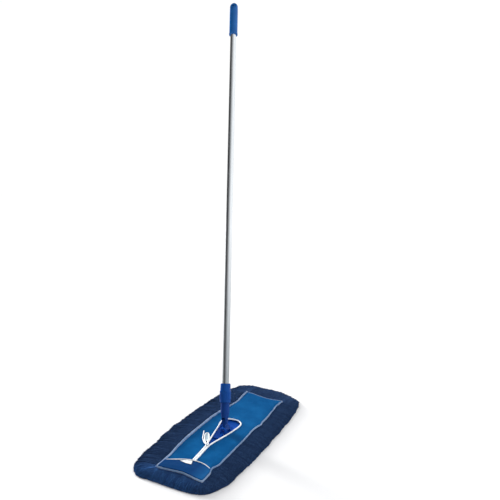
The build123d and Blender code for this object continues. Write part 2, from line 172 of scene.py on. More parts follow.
def bands(material, where, scale, direction="X", wobble=0.0):
    made = addNode(material, "TexWave", Scale=scale, Distortion=wobble, Detail=1, bands_direction=direction)
    join(material, where, made.inputs["Vector"])
    return made.outputs["Fac"]


def mathNode(material, operation, first, second=None):
    made = addNode(material, "Math", operation=operation)
    for socket, value in zip(made.inputs, (first, second)):
        if isinstance(value, (int, float)):
            socket.default_value = value
        elif value is not None:
            join(material, value, socket)
    return made.outputs["Value"]


def colourBy(material, pattern, *stops):
    # Stops are (share, colour), and the pattern picks between them
    ramp = addNode(material, "ValToRGB")
    elements = ramp.color_ramp.elements
    while len(elements) < len(stops):
        elements.new(0.5)
    for element, (share, colour) in zip(elements, stops):
        element.position = share
        element.color = colour
    join(material, pattern, ramp.inputs["Fac"])
    return ramp.outputs["Color"]


def mixColours(material, share, first, second, blend="MIX"):
    mix = addNode(material, "Mix", data_type="RGBA", blend_type=blend)
    for socket, value in zip((mix.inputs["Factor"], mix.inputs[6], mix.inputs[7]), (share, first, second)):
        if isinstance(value, (tuple, int, float)):
            socket.default_value = value
        else:
            join(material, value, socket)
    return mix.outputs[2]


def roughBy(material, shader, pattern, low, high):
    spread = addNode(material, "MapRange", To_Min=low, To_Max=high)
    join(material, pattern, spread.inputs["Value"])
    join(material, spread.outputs["Result"], shader.inputs["Roughness"])


def raiseBy(material, shader, *layers):
    # Layers are (pattern, strength, distance), the coarsest first
    normal = None
    for pattern, strength, distance in layers:
        made = addNode(material, "Bump", Strength=strength, Distance=distance)
        join(material, pattern, made.inputs["Height"])
        if normal is not None:
            join(material, normal, made.inputs["Normal"])
        normal = made.outputs["Normal"]
    join(material, normal, shader.inputs["Normal"])


def dress(piece, material):
    piece.data.materials.clear()
    piece.data.materials.append(material)


def mount(piece, material, body, slot, *nodes):
    dress(piece, material)
    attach(piece, body)
    if nodes:
        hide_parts(*nodes)
    return piece


# Camera

cameraSetup = {
    "place": Vector((-1.4630, -0.7120, 0.8914)),
    "sight": Vector((0.89770, 0.41037, -0.16038)),
    "up": Vector((0.11740, 0.12807, 0.98479)),
    "lens": 38.63,
}


def placeCamera(setup):
    data = bpy.data.cameras.new("camera")
    data.lens = setup["lens"]
    data.sensor_width = 36
    data.clip_end = 60
    made = addObject("camera", data)
    back = -setup["sight"].normalized()
    right = setup["up"].cross(back).normalized()
    turn = Matrix((right, back.cross(right), back)).transposed()
    made.matrix_world = Matrix.Translation(setup["place"]) @ turn.to_4x4()
    scene.camera = made


placeCamera(cameraSetup)
print("camera placed")


# Fabric levels and the way the cover settles on its plate

panelLow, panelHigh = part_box("edge_binding")
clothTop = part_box("top_cloth")[1].z
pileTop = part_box("yarn_pile")[1].z
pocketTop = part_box("end_pocket")[1].z
panelMiddle = (panelLow + panelHigh) / 2
panelHalf = (panelHigh - panelLow) / 2

settling = {
    "leftBow": 0.0110,  # how far the left edge bows out
    "leftRise": 0.0050,  # and how far it curls up
    "nearPull": 0.0080,
    "farPull": 0.0130,
    "clothWave": 0.0008,
    "edgeDip": 0.0012,
}


def leftShare(x):
    return bump(x, -0.020, 0.165, 4)


def settle(x, y):
    # Where a point of the flat panel lies once the cover is tied on
    left = smoothStep(0.048, 0.075, y)
    right = smoothStep(0.045, 0.075, -y)
    near = smoothStep(0.0, 0.044, -0.234 - x)
    far = smoothStep(0.240, 0.320, x)
    movedY = y
    movedY += left * (0.0015 + settling["leftBow"] * leftShare(x) - 0.0060 * bump(x, 0.222, 0.042))
    movedY += right * (0.0085 * bump(x, -0.207, 0.017) + 0.0030 * bump(x, 0.055, 0.035))
    movedY -= right * (0.0050 * bump(x, 0.107, 0.015) + 0.0020 * bump(x, 0.150, 0.030))
    movedY += right * 0.0050 * bump(x, 0.268, 0.040)
    movedX = x
    movedX += near * (settling["nearPull"] * bump(y, -0.005, 0.038) - 0.0030 * bump(y, 0.080, 0.030))
    movedX -= far * settling["farPull"] * bump(y, -0.010, 0.052)
    ripple = max(left, right, near, far)
    movedX += ripple * 0.0007 * drift(x * 70, y * 70, 3)
    movedY += ripple * 0.0009 * drift(x * 60, y * 60, 7)
    return movedX, movedY


def clothHeight(x, y):
    # The top cloth's upper side over a point of the flat panel
    wave = 0.6 * drift(x * 16, y * 24, 1) + 0.4 * drift(x * 42, y * 46, 5)
    height = clothTop + settling["clothWave"] * (0.35 + wave)
    edge = max(smoothStep(0.058, 0.069, abs(y)), smoothStep(0.285, 0.293, abs(x - panelMiddle.x)))
    height -= settling["edgeDip"] * edge
    height += settling["leftRise"] * leftShare(x) * smoothStep(0.060, 0.075, y)
    return height


def perimeter(lowX, highX, lowY, highY, corner, pitch):
    # Evenly spaced points round a rounded rectangle, each with its outward direction
    runs = []
    straightX, straightY = highX - lowX - 2 * corner, highY - lowY - 2 * corner
    quarter = math.pi / 2 * corner
    corners = [
        (highX - corner, lowY + corner, -90), (highX - corner, highY - corner, 0),
        (lowX + corner, highY - corner, 90), (lowX + corner, lowY + corner, 180),
    ]
    for index, (x, y, start) in enumerate(corners):
        runs.append(("turn", x, y, start, quarter))
        runs.append(("line", x, y, start + 90, straightY if index % 2 == 0 else straightX))
    total = sum(run[4] for run in runs)
    count = round(total / pitch)
    found = []
    for step in range(count):
        along = step * total / count
        for kind, x, y, start, length in runs:
            if along <= length:
                break
            along -= length
        angle = math.radians(start + (90 * along / length if kind == "turn" else 0))
        outward = Vector((math.cos(angle), math.sin(angle), 0))
        point = Vector((x, y, 0)) + outward * corner
        if kind == "line":
            point += Vector((-outward.y, outward.x, 0)) * along
        found.append((point, outward))
    return found


# Materials

nearSheenTone = (1.45, 1.9, 2.1, 1)  # painted sheen: how much lighter and bluer the yarn at the near end is painted


def nearSheenShare(material):
    # The share of painted sheen at a place: all of it at the near end, none on the sides
    split = addNode(material, "SeparateXYZ")
    join(material, places(material), split.inputs["Vector"])
    along = addNode(material, "MapRange", interpolation_type="SMOOTHSTEP", From_Min=-0.255, From_Max=-0.300)
    across = addNode(material, "MapRange", interpolation_type="SMOOTHSTEP", From_Min=-0.110, From_Max=-0.020)
    join(material, split.outputs["X"], along.inputs["Value"])
    join(material, split.outputs["Y"], across.inputs["Value"])
    return mathNode(material, "MULTIPLY", along.outputs["Result"], across.outputs["Result"])


def makeYarn(name, colour, deep, light, twist, lay=(34, 34, 34), tipShadowLevel=1.0):
    material, shader = newMaterial(name, colour, 0.9, Sheen_Weight=0.10, Sheen_Roughness=0.5)
    shader.inputs["Sheen Tint"].default_value = light
    shader.inputs["Specular IOR Level"].default_value = 0.05
    object3d = places(material)
    along = places(material, stretch=(1, twist, 1), surface=True)
    split = addNode(material, "SeparateXYZ")
    join(material, along, split.inputs["Vector"])
    slope = mathNode(material, "ADD", split.outputs["Y"], split.outputs["X"])
    ply = mathNode(material, "SINE", mathNode(material, "MULTIPLY", slope, 2 * math.pi))
    ply = mathNode(material, "MULTIPLY_ADD", ply, 0.5)
    ply.node.inputs[2].default_value = 0.5
    strands = grain(material, object3d, 260, 2)
    locks = grain(material, places(material, stretch=lay), 1, 3)
    fibre = colourBy(material, strands, (0.30, deep), (0.52, colour), (0.74, light))
    # painted shade: the grooves between the plies are darkened
    plyGrooveShade = colourBy(material, ply, (0.0, (0.5, 0.5, 0.52, 1)), (0.6, (1, 1, 1, 1)))
    shadowed = mixColours(material, 1.0, fibre, plyGrooveShade, "MULTIPLY")
    patch = colourBy(material, locks, (0.32, (0.76, 0.78, 0.82, 1)), (0.66, (1.1, 1.1, 1.08, 1)))
    toned = mixColours(material, 1.0, shadowed, patch, "MULTIPLY")
    length = addNode(material, "SeparateXYZ")
    join(material, places(material, surface=True), length.inputs["Vector"])
    # painted shade: the strands darken towards their tips, standing for the shadow along the fringe's lower
    # edge
    tipShadowColour = (tipShadowLevel, tipShadowLevel, tipShadowLevel, 1)
    tipShadow = colourBy(material, length.outputs["Y"], (0.74, (1, 1, 1, 1)), (0.93, tipShadowColour))
    toned = mixColours(material, 1.0, toned, tipShadow, "MULTIPLY")
    # painted sheen: the yarn at the near end is painted lighter and bluer than on the sides
    sheened = mixColours(material, nearSheenShare(material), toned, nearSheenTone, "MULTIPLY")
    join(material, sheened, shader.inputs["Base Color"])
    roughBy(material, shader, strands, 0.80, 0.98)
    raiseBy(material, shader, (ply, 0.7, 0.0006), (grain(material, object3d, 900, 2), 0.35, 0.0003))
    return material


def makeWeave(name, colour, deep, light, threads, roughness, sheen):
    # Plain woven cloth: warp and weft, slubs, soft mottling
    material, shader = newMaterial(name, colour, roughness, Sheen_Weight=sheen, Sheen_Roughness=0.4)
    shader.inputs["Specular IOR Level"].default_value = 0.03
    where = places(material)
    warp = bands(material, where, threads, "X", 0.15)
    weft = bands(material, where, threads, "Y", 0.15)
    weave = mathNode(material, "MAXIMUM", warp, weft)
    slubs = grain(material, places(material, stretch=(1, 7, 1)), 90, 3)
    soft = grain(material, where, 16, 4, 0.6)
    cloud = colourBy(material, soft, (0.30, deep), (0.50, colour), (0.72, light))
    threadTone = colourBy(material, weave, (0.35, (0.72, 0.74, 0.78, 1)), (0.9, (1, 1, 1, 1)))
    toned = mixColours(material, 0.75, cloud, threadTone, "MULTIPLY")
    slubTone = colourBy(material, slubs, (0.35, (0.90, 0.91, 0.93, 1)), (0.7, (1.06, 1.06, 1.05, 1)))
    join(material, mixColours(material, 0.8, toned, slubTone, "MULTIPLY"), shader.inputs["Base Color"])
    roughBy(material, shader, slubs, roughness - 0.08, roughness + 0.08)
    raiseBy(material, shader, (soft, 0.25, 0.0015), (slubs, 0.25, 0.0004), (weave, 0.45, 0.00025))
    return material


def makeCotton(name, colour, shade, scale, grooveShade=0.86):
    # White cotton tape and cord, with a twill that follows the piece and painted shade in the twill's grooves
    material, shader = newMaterial(name, colour, 0.75, Sheen_Weight=0.25)
    shader.inputs["Specular IOR Level"].default_value = 0.3
    where = places(material)
    fine = grain(material, where, 700, 2)
    wearAndSheen = grain(material, where, 60, 3)
    twill = bands(material, places(material, turn=(0, 0, 0.8)), scale, "DIAGONAL", 0.3)
    tone = colourBy(material, wearAndSheen, (0.30, shade), (0.55, colour))
    # painted shade: the twill's grooves are darkened
    lines = colourBy(material, twill, (0.2, (grooveShade, grooveShade, grooveShade, 1)), (0.7, (1, 1, 1, 1)))
    join(material, mixColours(material, 0.7, tone, lines, "MULTIPLY"), shader.inputs["Base Color"])
    roughBy(material, shader, fine, 0.65, 0.88)
    raiseBy(material, shader, (twill, 0.5, 0.0003), (fine, 0.3, 0.0002))
    return material


def makePlastic(name, colour, deep, roughness, texture, fine, gloss=0.16):
    # Moulded plastic with a spark-eroded surface and slight flow marks
    material, shader = newMaterial(name, colour, roughness)
    shader.inputs["Specular IOR Level"].default_value = gloss
    where = places(material)
    flow = grain(material, where, 22, 3)
    spark = grain(material, where, texture, 3, 0.7)
    scuffs = grain(material, places(material, stretch=(1, 1, 0.15)), 160, 4, 0.75)
    base = colourBy(material, flow, (0.30, deep), (0.62, colour))
    scuffed = colourBy(material, scuffs, (0.42, (0.90, 0.92, 0.94, 1)), (0.60, (1.05, 1.05, 1.05, 1)))
    wearAndSheen = mixColours(material, 0.6, base, scuffed, "MULTIPLY")
    join(material, wearAndSheen, shader.inputs["Base Color"])
    roughBy(material, shader, scuffs, roughness - 0.07, roughness + 0.12)
    raiseBy(material, shader, (flow, 0.08, 0.001), (spark, fine, 0.0003))
    return material


def makeTube():
    # Drawn aluminium: streaks along the tube, a soft anodised finish, and painted shade towards the foot
    material, shader = newMaterial("tubeAluminium", paint(226, 229, 230), 0.30, Metallic=1.0)
    tilt = Vector((0.314655, 0.202210, 0.927418)).rotation_difference(Vector((0, 0, 1))).to_euler()
    along = places(material, turn=tuple(tilt))
    drawn = addNode(material, "Mapping", Scale=(1, 1, 0.012))
    join(material, along, drawn.inputs["Vector"])
    streaks = grain(material, drawn.outputs["Vector"], 900, 3, 0.6)
    cloud = grain(material, drawn.outputs["Vector"], 140, 2)
    tone = colourBy(material, streaks, (0.30, paint(200, 205, 208)), (0.70, paint(226, 229, 231)))
    marks = colourBy(material, cloud, (0.3, (0.93, 0.94, 0.95, 1)), (0.7, (1, 1, 1, 1)))
    tone = mixColours(material, 0.5, tone, marks, "MULTIPLY")
    split = addNode(material, "SeparateXYZ")
    join(material, places(material), split.inputs["Vector"])
    # painted shade: the tube darkens from Z 0.75 down to 0.05, to 0.40 of its colour
    height = addNode(material, "MapRange", interpolation_type="SMOOTHSTEP", From_Min=0.05, From_Max=0.75)
    join(material, split.outputs["Z"], height.inputs["Value"])
    footShade = colourBy(material, height.outputs["Result"], (0.0, (0.40, 0.42, 0.43, 1)), (1.0, (1, 1, 1, 1)))
    join(material, mixColours(material, 1.0, tone, footShade, "MULTIPLY"), shader.inputs["Base Color"])
    roughBy(material, shader, streaks, 0.22, 0.36)
    raiseBy(material, shader, (streaks, 0.12, 0.0002))
    return material


def makeSteel():
    # Blued steel
    material, shader = newMaterial("pinSteel", paint(66, 92, 158), 0.45, Metallic=1.0)
    where = places(material)
    turned = grain(material, places(material, stretch=(0.2, 1, 1)), 1200, 2)
    rubbed = grain(material, where, 120, 3)
    blued = colourBy(material, rubbed, (0.3, paint(56, 80, 142)), (0.7, paint(76, 104, 172)))
    join(material, blued, shader.inputs["Base Color"])
    roughBy(material, shader, turned, 0.32, 0.50)
    raiseBy(material, shader, (turned, 0.2, 0.0001))
    return material


navy = (paint(43, 68, 108), paint(33, 54, 88), paint(54, 82, 126))
sideYarn = makeYarn("sideYarn", *navy, 9, lay=(110, 16, 40), tipShadowLevel=0.22)
endYarn = makeYarn("endYarn", *navy, 9, lay=(16, 90, 40), tipShadowLevel=0.22)
pileYarn = makeYarn("pileYarn", paint(34, 54, 86), paint(22, 38, 64), paint(50, 74, 112), 7)
topWeave = makeWeave("topWeave", paint(14, 86, 142), paint(10, 78, 133), paint(21, 97, 155), 270, 0.78, 0.0)
backWeave = makeWeave("backWeave", paint(60, 76, 104), paint(50, 64, 92), paint(76, 92, 118), 220, 0.85, 0.03)
bindingWeave = makeWeave(
    "bindingWeave", paint(120, 154, 196), paint(100, 134, 180), paint(150, 180, 214), 420, 0.8, 0.05)
whiteCotton = makeCotton("whiteCotton", paint(254, 254, 254), paint(244, 247, 250), 240, 0.94)
tapeCotton = makeCotton("tapeCotton", paint(232, 238, 242), paint(196, 208, 218), 190, 0.90)
# painted shade: a greyer copy of the white cotton, for the tape folded down inside the bow's loop
bowShadedCotton = makeCotton("bowShadedCotton", paint(200, 216, 226), paint(146, 174, 192), 190, 0.84)
frameBlue = makePlastic("frameBlue", paint(14, 76, 168), paint(10, 62, 146), 0.50, 900, 0.25, 0.06)
socketBlue = makePlastic("socketBlue", paint(18, 62, 134), paint(14, 52, 118), 0.42, 1100, 0.18, 0.08)
collarBlue = makePlastic("collarBlue", paint(18, 74, 150), paint(14, 64, 136), 0.40, 1100, 0.18, 0.09)
gripBlue = makePlastic("gripBlue", paint(22, 98, 168), paint(18, 86, 154), 0.50, 700, 0.45, 0.22)
washerNylon = makePlastic("washerNylon", paint(30, 58, 118), paint(24, 50, 104), 0.45, 1000, 0.1)
tubeAluminium = makeTube()
pinSteel = makeSteel()
print("materials made")


# Bow cords first: their routes are those of the frame's own cord solids

bow = {
    "diameter": 0.0034,
    "tailLength": 0.0906,
    "loopLength": 0.1510,
    "tail": [
        (-0.1120, 0.0098, 0.0057), (-0.1050, 0.0190, 0.0046), (-0.0930, 0.0295, 0.0022),
        (-0.0790, 0.0400, 0.0019), (-0.0640, 0.0475, 0.0019), (-0.0500, 0.0530, 0.0019),
        (-0.0380, 0.0595, 0.0019),
    ],
    "loop": [
        (-0.1075, 0.0102, 0.0058), (-0.0970, 0.0210, 0.0042), (-0.0840, 0.0305, 0.0019),
        (-0.0700, 0.0384, 0.0019), (-0.0580, 0.0442, 0.0019), (-0.0500, 0.0470, 0.0019),
        (-0.0435, 0.0455, 0.0019), (-0.0425, 0.0395, 0.0019), (-0.0485, 0.0345, 0.0019),
        (-0.0565, 0.0295, 0.0019), (-0.0660, 0.0240, 0.0019), (-0.0760, 0.0200, 0.0022),
        (-0.0870, 0.0165, 0.0040), (-0.0960, 0.0126, 0.0054), (-0.1043, 0.0074, 0.0059),
    ],
}


def bowRoute(name):
    return [Vector((x, y, clothTop + height)) for x, y, height in bow[name]]


bowTail = curveAlong("bowTail", [bowRoute("tail")], bow["diameter"] / 2, steps=10, sides=3)
bowLoop = curveAlong("bowLoop", [bowRoute("loop")], bow["diameter"] / 2, steps=10, sides=3)
mount(bowTail, whiteCotton, "head", "tape_white", "tie_tail")
mount(bowLoop, whiteCotton, "head", "tape_white", "tie_loop")


def makeBowWeb():
    # The flat of the tape, folded down inside the loop, in cotton painted greyer as shade
    route = lineOf(bowRoute("loop"), steps=4)
    half = len(route) // 2
    out, back = route[:half], route[:-half - 1:-1]
    work = bmesh.new()
    sides = []
    for side in (out[4:], back[4:]):
        sides.append([work.verts.new(point - Vector((0, 0, 0.0004))) for point in side])
    edges = [work.edges.new(pair) for side in sides for pair in zip(side, side[1:])]
    bmesh.ops.bridge_loops(work, edges=edges)
    bmesh.ops.subdivide_edges(work, edges=[edge for edge in work.edges if not edge.is_boundary], cuts=3)
    for vertex in work.verts:
        if not vertex.is_boundary:
            vertex.co.z += 0.0005 * drift(vertex.co.x * 160, vertex.co.y * 260, 2) - 0.0003
    bmesh.ops.recalc_face_normals(work, faces=work.faces)
    piece = meshOf("bowWeb", work)
    thicken(piece, 0.0005)
    return mount(piece, bowShadedCotton, "head", "tape_white")


print("bow cords laid")


# Slit in the top cloth: its piping goes down one side, round the joint and back

slit = {
    "pipingRadius": 0.0024,
    "route": [
        (-0.2010, -0.0051), (-0.1750, -0.0034), (-0.1420, -0.0006), (-0.1090, 0.0019),
        (-0.0800, -0.0020), (-0.0480, -0.0092), (-0.0180, -0.0152), (0.0140, -0.0205),
        (0.0450, -0.0240), (0.0700, -0.0235), (0.0850, -0.0080), (0.0860, 0.0130),
        (0.0800, 0.0320), (0.0650, 0.0440), (0.0450, 0.0430), (0.0140, 0.0345),
        (-0.0300, 0.0262), (-0.0700, 0.0185), (-0.1090, 0.0091), (-0.1420, 0.0066),
        (-0.1750, 0.0038), (-0.2010, 0.0021),
    ],
}
slitHeight = (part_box("slit_piping")[0].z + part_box("slit_piping")[1].z) / 2
slitRoute = [Vector((x, y, slitHeight)) for x, y in slit["route"]]
slitLine = lineOf(slitRoute)


def insideLoop(x, y, loop):
    inside = False
    for first, second in zip(loop, loop[1:] + loop[:1]):
        if (first.y > y) != (second.y > y):
            if x < (second.x - first.x) * (y - first.y) / (second.y - first.y) + first.x:
                inside = not inside
    return inside


def nearestOn(point, line):
    best, found = 1e9, line[0]
    for first, second in zip(line, line[1:]):
        run = second - first
        share = max(0.0, min(1.0, (point - first).dot(run) / max(run.length_squared, 1e-12)))
        place = first + run * share
        if (point - place).length_squared < best:
            best, found = (point - place).length_squared, place
    return found


def gridSheet(lowX, highX, lowY, highY, pitch):
    work = bmesh.new()
    columns, rows = round((highX - lowX) / pitch), round((highY - lowY) / pitch)
    bmesh.ops.create_grid(work, x_segments=columns, y_segments=rows, size=1)
    bmesh.ops.scale(work, verts=work.verts, vec=((highX - lowX) / 2, (highY - lowY) / 2, 1))
    bmesh.ops.translate(work, verts=work.verts, vec=((lowX + highX) / 2, (lowY + highY) / 2, 0))
    return work


def thicken(piece, thickness):
    wall = piece.modifiers.new("wall", "SOLIDIFY")
    wall.thickness = thickness
    wall.offset = -1


def makeTopCloth():
    inset = 0.004
    work = gridSheet(panelLow.x + inset, panelHigh.x - inset, panelLow.y + inset, panelHigh.y - inset, 0.003)
    opening = [Vector((point.x, point.y, 0)) for point in slitLine]
    gone = [face for face in work.faces if insideLoop(*face.calc_center_median().xy, opening)]
    bmesh.ops.delete(work, geom=gone, context="FACES")
    for vertex in work.verts:
        flat = Vector((vertex.co.x, vertex.co.y, 0))
        if vertex.is_boundary and opening[0].x - 0.004 < flat.x and abs(flat.y) < 0.060 and flat.x < 0.2:
            flat = nearestOn(flat, opening + opening[:1])
        x, y = settle(flat.x, flat.y)
        vertex.co = Vector((x, y, clothHeight(flat.x, flat.y)))
    piece = meshOf("topCloth", work)
    thicken(piece, 0.0010)
    mount(piece, topWeave, "head", "cloth_blue", "top_cloth")
    return piece


makeTopCloth()
makeBowWeb()

slitPiping = asMesh(curveAlong("slitPiping", [slitRoute], slit["pipingRadius"], steps=6, sides=3))
mount(slitPiping, whiteCotton, "head", "tape_white", "slit_piping")


def makeSlitTape():
    # The flat tape that closes the slit between the pocket and the knot
    outer, inner = slit["route"][:4], slit["route"][:-5:-1]
    work = bmesh.new()
    sides = []
    for route in (outer, inner):
        line = lineOf([Vector((x, y, slitHeight + 0.0002)) for x, y in route])
        sides.append([work.verts.new(point) for point in line])
    edges = [work.edges.new(pair) for side in sides for pair in zip(side, side[1:])]
    bmesh.ops.bridge_loops(work, edges=edges)
    bmesh.ops.subdivide_edges(work, edges=[edge for edge in work.edges if not edge.is_boundary], cuts=3)
    for vertex in work.verts:
        vertex.co.z += 0.0005 * drift(vertex.co.x * 220, vertex.co.y * 300, 2)
    bmesh.ops.recalc_face_normals(work, faces=work.faces)
    piece = meshOf("slitTape", work)
    thicken(piece, 0.0006)
    return mount(piece, tapeCotton, "head", "tape_white")


makeSlitTape()
print("top cloth and slit made")


# Pocket over the near end, its bound mouth and the folded tab

pocket = {
    "mouth": [
        (-0.2385, 0.0695), (-0.2250, 0.0450), (-0.2090, 0.0150),
        (-0.2030, -0.0150), (-0.2060, -0.0450), (-0.2135, -0.0675),
    ],
    "puff": 0.0012,
    "bindingRadius": 0.0015,
}


def mouthAt(y):
    # The mouth's place along X for a place across it
    route = pocket["mouth"]
    for (x1, y1), (x2, y2) in zip(route, route[1:]):
        if y <= y1 and y >= y2:
            return x1 + (x2 - x1) * (y1 - y) / (y1 - y2)
    return route[0][0] if y > route[0][1] else route[-1][0]


def pocketHeight(x, y):
    across = max(0.0, 1 - (y / 0.072) ** 2)
    along = smoothStep(panelLow.x, panelLow.x + 0.03, x)
    crease = 0.0006 * drift(x * 60, y * 30, 9) + 0.0004 * drift(x * 20 + y * 90, y * 40, 4)
    return max(clothHeight(x, y) + 0.0011, pocketTop) + pocket["puff"] * across * along + crease * along


def makePocket():
    inset = 0.004
    work = bmesh.new()
    columns, rows = 26, 48
    bmesh.ops.create_grid(work, x_segments=columns, y_segments=rows, size=1)
    for vertex in work.verts:
        y = panelMiddle.y + vertex.co.y * (panelHalf.y - inset)
        start = panelLow.x + inset
        x = start + (mouthAt(y) - start) * (vertex.co.x + 1) / 2
        movedX, movedY = settle(x, y)
        vertex.co = Vector((movedX, movedY, pocketHeight(x, y)))
    piece = meshOf("endPocket", work)
    thicken(piece, 0.0008)
    mount(piece, pocketSatin, "head", "pocket_blue", "end_pocket")
    return piece


def makeSatin():
    material, shader = newMaterial("pocketSatin", paint(16, 66, 118), 0.46)
    shader.inputs["Specular IOR Level"].default_value = 0.04
    where = places(material)
    twill = bands(material, places(material, turn=(0, 0, 0.5)), 300, "X", 0.1)
    soft = grain(material, where, 26, 3)
    # painted sheen: the pocket runs from dark at its left (+Y) side to light at its right (-Y) side
    wearAndSheen = addNode(material, "MapRange", From_Min=0.045, From_Max=-0.070)
    split = addNode(material, "SeparateXYZ")
    join(material, where, split.inputs["Vector"])
    shifted = mathNode(material, "ADD", split.outputs["Y"], mathNode(material, "MULTIPLY", soft, 0.03))
    join(material, shifted, wearAndSheen.inputs["Value"])
    stops = (0.0, paint(10, 60, 112)), (0.5, paint(12, 62, 116)), (1.0, paint(26, 98, 156))
    tone = colourBy(material, wearAndSheen.outputs["Result"], *stops)
    lines = colourBy(material, twill, (0.2, (0.86, 0.87, 0.90, 1)), (0.8, (1, 1, 1, 1)))
    join(material, mixColours(material, 0.7, tone, lines, "MULTIPLY"), shader.inputs["Base Color"])
    roughBy(material, shader, soft, 0.38, 0.56)
    raiseBy(material, shader, (soft, 0.3, 0.002), (twill, 0.35, 0.0002))
    return material


pocketSatin = makeSatin()
makePocket()


def makeMouthBinding():
    route = []
    for x, y in pocket["mouth"]:
        movedX, movedY = settle(x, y)
        ended = 0.0020 * smoothStep(0.060, 0.069, abs(y))  # its ends are caught under the edge band
        route.append(Vector((movedX, movedY, pocketHeight(x, y) + 0.0006 - ended)))
    piece = asMesh(curveAlong("pocketBinding", [route], pocket["bindingRadius"], steps=10, sides=3))
    return mount(piece, whiteCotton, "head", "tape_white", "pocket_binding")


makeMouthBinding()

tab = {
    "tip": Vector((-0.2250, 0.0300)),
    "low": Vector((-0.2275, -0.0085)),
    "high": Vector((-0.2095, -0.0020)),
    "pleats": 3,
    "lift": 0.0016,
}


def makeTab():
    # A folded tape that fans out from a point to the slit's end
    work = bmesh.new()
    bmesh.ops.create_grid(work, x_segments=16, y_segments=12, size=1)
    for vertex in work.verts:
        along, across = (vertex.co.x + 1) / 2, (vertex.co.y + 1) / 2
        end = tab["low"].lerp(tab["high"], across)
        middle = tab["tip"] + Vector((-0.0015, 0.001)) * (0.5 - across)
        place = middle.lerp(end, along ** 0.9)
        place += Vector((0.0022, 0.0)) * math.sin(math.pi * along) * (across - 0.5) * 2
        fold = abs(math.sin(math.pi * tab["pleats"] * across + 0.4))
        height = pocketHeight(place.x, place.y) + 0.0008 + tab["lift"] * fold * (0.35 + 0.65 * along)
        vertex.co = Vector((place.x, place.y, height))
    bmesh.ops.recalc_face_normals(work, faces=work.faces)
    piece = meshOf("tieTab", work)
    thicken(piece, 0.0007)
    soften = piece.modifiers.new("soften", "SUBSURF")
    soften.levels = soften.render_levels = 1
    return mount(piece, whiteCotton, "head", "tape_white", "tie_tab")


makeTab()
print("pocket made")


# Knot of the bow: two turns of cord over a pinched core

def makeKnot():
    low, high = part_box("tie_knot")
    middle = (low + high) / 2
    turns = []
    for offset, lean, wide in ((-0.0011, 0.35, 1.0), (0.0012, -0.30, 0.92), (0.0002, 1.25, 0.85)):
        ring = []
        for step in range(8):
            angle = 2 * math.pi * step / 8
            local = Vector((offset, 0.0042 * wide * math.cos(angle), 0.0026 * math.sin(angle)))
            ring.append(middle + Matrix.Rotation(lean + 0.9, 3, "Z") @ local)
        turns.append(ring)
    line = curveAlong("tieKnot", turns, 0.0012, closed=True, steps=3, sides=2)
    piece = asMesh(line)
    work = bmesh.new()
    work.from_mesh(piece.data)
    core = bmesh.ops.create_uvsphere(work, u_segments=16, v_segments=10, radius=0.0030)
    bmesh.ops.scale(work, verts=core["verts"], vec=(1.15, 1.15, 0.8))
    bmesh.ops.translate(work, verts=core["verts"], vec=middle)
    work.to_mesh(piece.data)
    work.free()
    for face in piece.data.polygons:
        face.use_smooth = True
    return mount(piece, whiteCotton, "head", "tape_white", "tie_knot")


makeKnot()
print("knot made")


# Edge binding: a soft band round the panel, overlocked with thread

edging = {
    "halfWidth": 0.0026, "halfHeight": 0.0034, "corner": 0.004,
    "wide": 1.20,  # share of the band's width on the left side
    "narrow": 0.60,  # and on the other sides
    "stitchPitch": 0.0022, "threadRadius": 0.00036,
}


def edgePoint(point, outward, inwards, height):
    flat = point - outward * inwards
    x, y = settle(flat.x, flat.y)
    rise = settling["leftRise"] * leftShare(flat.x) * smoothStep(0.060, 0.075, flat.y)
    return Vector((x, y, height + rise))


def bandWidth(point):
    # The band is sewn wider along the left side, and unevenly everywhere
    left = smoothStep(0.070, 0.0745, point.y)
    uneven = 0.10 * drift(point.x * 45, point.y * 45, 6)
    return edging["narrow"] + (edging["wide"] - edging["narrow"]) * left + uneven


def makeBinding():
    path = []
    pathPitch = 0.006
    spots = perimeter(panelLow.x, panelHigh.x, panelLow.y, panelHigh.y, edging["corner"], pathPitch)
    for point, outward in spots:
        spot = edgePoint(point, outward, edging["halfWidth"], panelHigh.z - edging["halfHeight"] - 0.0002)
        path.append((spot.x, spot.y, spot.z, bandWidth(point)))
    profile = bpy.data.curves.new("bindingProfile", "CURVE")
    spline = profile.splines.new("POLY")
    sides, squareness = 16, 0.7
    spline.points.add(sides - 1)
    for step, point in enumerate(spline.points):
        angle = 2 * math.pi * step / sides
        flat = abs(math.cos(angle)) ** squareness * math.copysign(1, math.cos(angle))
        tall = abs(math.sin(angle)) ** squareness * math.copysign(1, math.sin(angle))
        point.co = (edging["halfWidth"] * flat, edging["halfHeight"] * tall, 0, 1)
    spline.use_cyclic_u = True
    section = addObject("bindingProfile", profile)
    line = curveAlong("edgeBinding", [path], 0, closed=True, steps=2)
    line.data.twist_mode = "Z_UP"
    line.data.bevel_mode = "OBJECT"
    line.data.bevel_object = section
    piece = asMesh(line)
    piece.data.flip_normals()  # the swept profile comes out facing inwards
    bpy.data.objects.remove(section)
    return mount(piece, bindingWeave, "head", "binding_pale", "edge_binding")


makeBinding()


